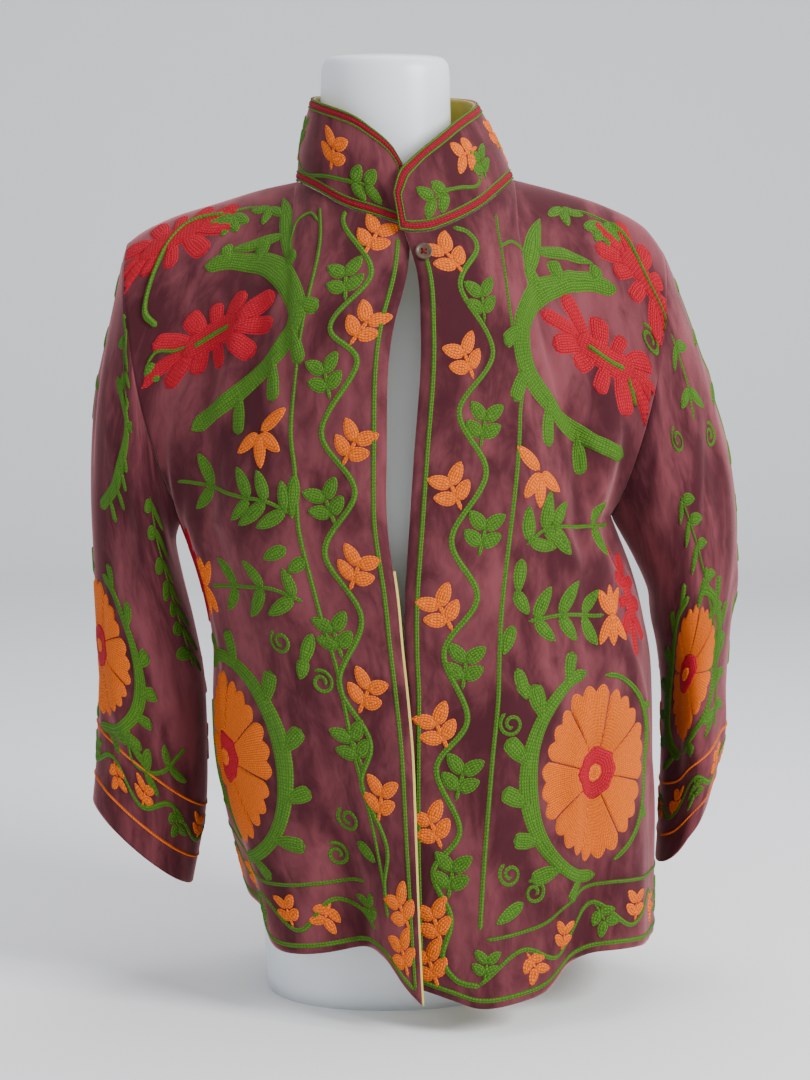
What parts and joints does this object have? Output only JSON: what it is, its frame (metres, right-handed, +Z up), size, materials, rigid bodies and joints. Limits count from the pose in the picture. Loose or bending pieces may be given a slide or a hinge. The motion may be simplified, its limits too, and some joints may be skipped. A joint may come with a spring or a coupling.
{
  "type": "velvet kimono jacket on a dress form",
  "caption": "Open velvet jacket with a stand collar, long loose sleeves and a button, worn by a smooth limbless dress form that it stands on.",
  "frame": {"origin": "middle of the flat foot of the dress form, on the form's own axis", "axes": "+Z up, the jacket's front faces -Y, +X to the viewer's right as the front is looked at"},
  "size_m": [0.5981, 0.3411, 0.8569],
  "materials": {
    "velvet": "velvet pile",
    "lining": "plain satin",
    "button": "polished coconut shell",
    "form": "satin"
  },
  "bodies": {
    "root": {"dress_form": "form", "front_left": "velvet", "front_right": "velvet", "back": "velvet", "sleeve_left": "velvet", "sleeve_right": "velvet", "collar": "velvet", "collar_lining": "lining", "facing_left": "lining", "button": "button"}
  },
  "joints": []
}
